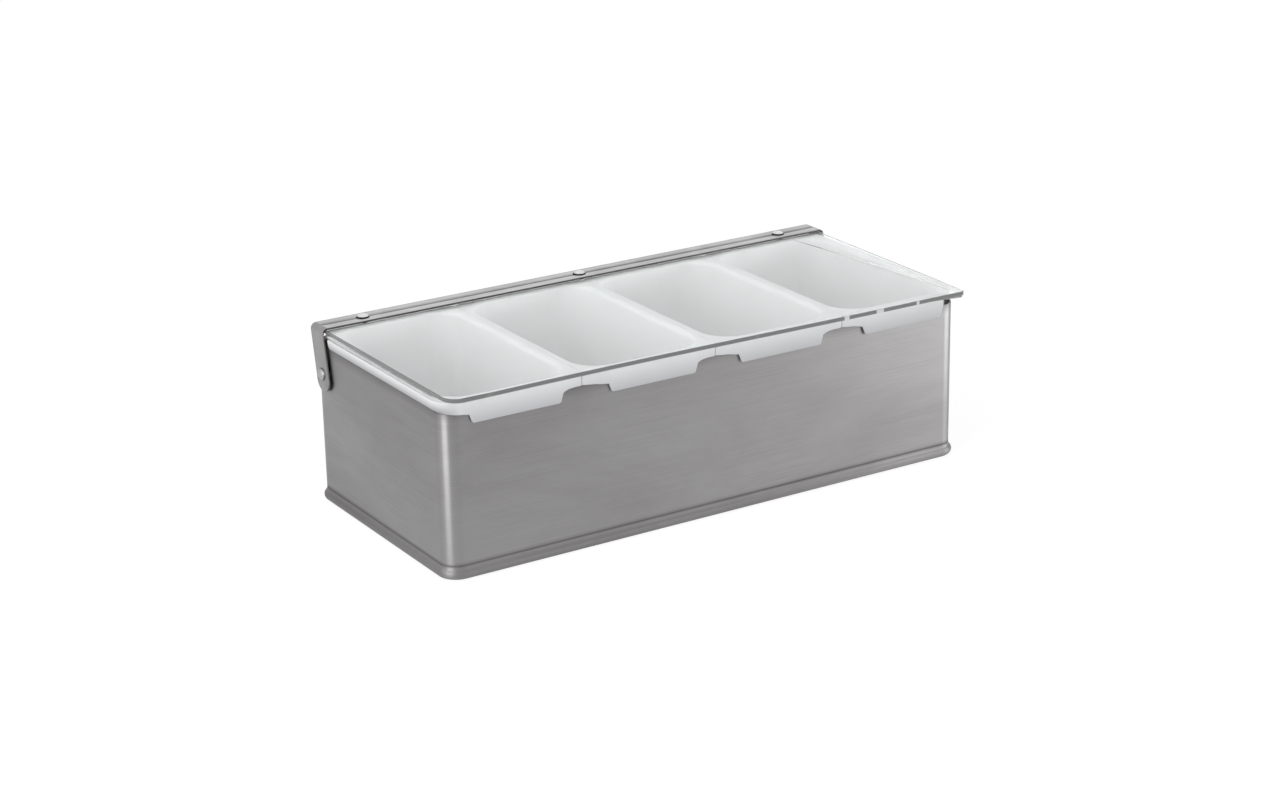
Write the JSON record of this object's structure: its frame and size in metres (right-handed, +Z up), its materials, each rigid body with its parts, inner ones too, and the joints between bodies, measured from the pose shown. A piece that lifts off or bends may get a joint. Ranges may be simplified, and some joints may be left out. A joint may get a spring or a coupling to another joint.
{
  "type": "condiment dispenser",
  "caption": "Stainless bar-top condiment dispenser: lift-out plastic inserts side by side under a clear lid that hinges back on riveted ears.",
  "frame": {"origin": "middle of the flat underside of the base plate, on the surface the dispenser stands on", "axes": "+X along the row of inserts, to the user's right; -Y towards the user, where the pull tabs are; +Z up"},
  "size_m": [0.307, 0.1447, 0.0949],
  "materials": {
    "housing_steel": "horizontally brushed stainless sheet",
    "base_steel": "mill-finished stainless sheet",
    "hinge_steel": "bright rolled stainless strip",
    "rivet_steel": "polished",
    "washer_steel": "plain stamped",
    "insert_plastic": "white injection-moulded plastic, satin gloss",
    "lid_acrylic": "clear polished acrylic"
  },
  "bodies": {
    "housing": {"housing_wall": "housing_steel", "base_plate": "base_steel", "insert_1": "insert_plastic", "insert_2": "insert_plastic", "insert_3": "insert_plastic", "insert_4": "insert_plastic", "pivot_rivet_left": "rivet_steel", "pivot_rivet_right": "rivet_steel", "pivot_spacer_left": "washer_steel", "pivot_spacer_right": "washer_steel", "pivot_washer_left": "washer_steel", "pivot_washer_right": "washer_steel"},
    "lid": {"lid_panel": "lid_acrylic", "hinge_strip": "hinge_steel", "lid_rivet_1": "rivet_steel", "lid_rivet_2": "rivet_steel", "lid_rivet_3": "rivet_steel", "lid_washer_1": "washer_steel", "lid_washer_2": "washer_steel", "lid_washer_3": "washer_steel"}
  },
  "joints": [
    {"name": "lid_hinge", "type": "hinge", "parent": "housing", "child": "lid", "pos_m": [0, 0.0553, 0.06925], "axis": [-1, 0, 0], "range_deg": [0, 117]}
  ]
}
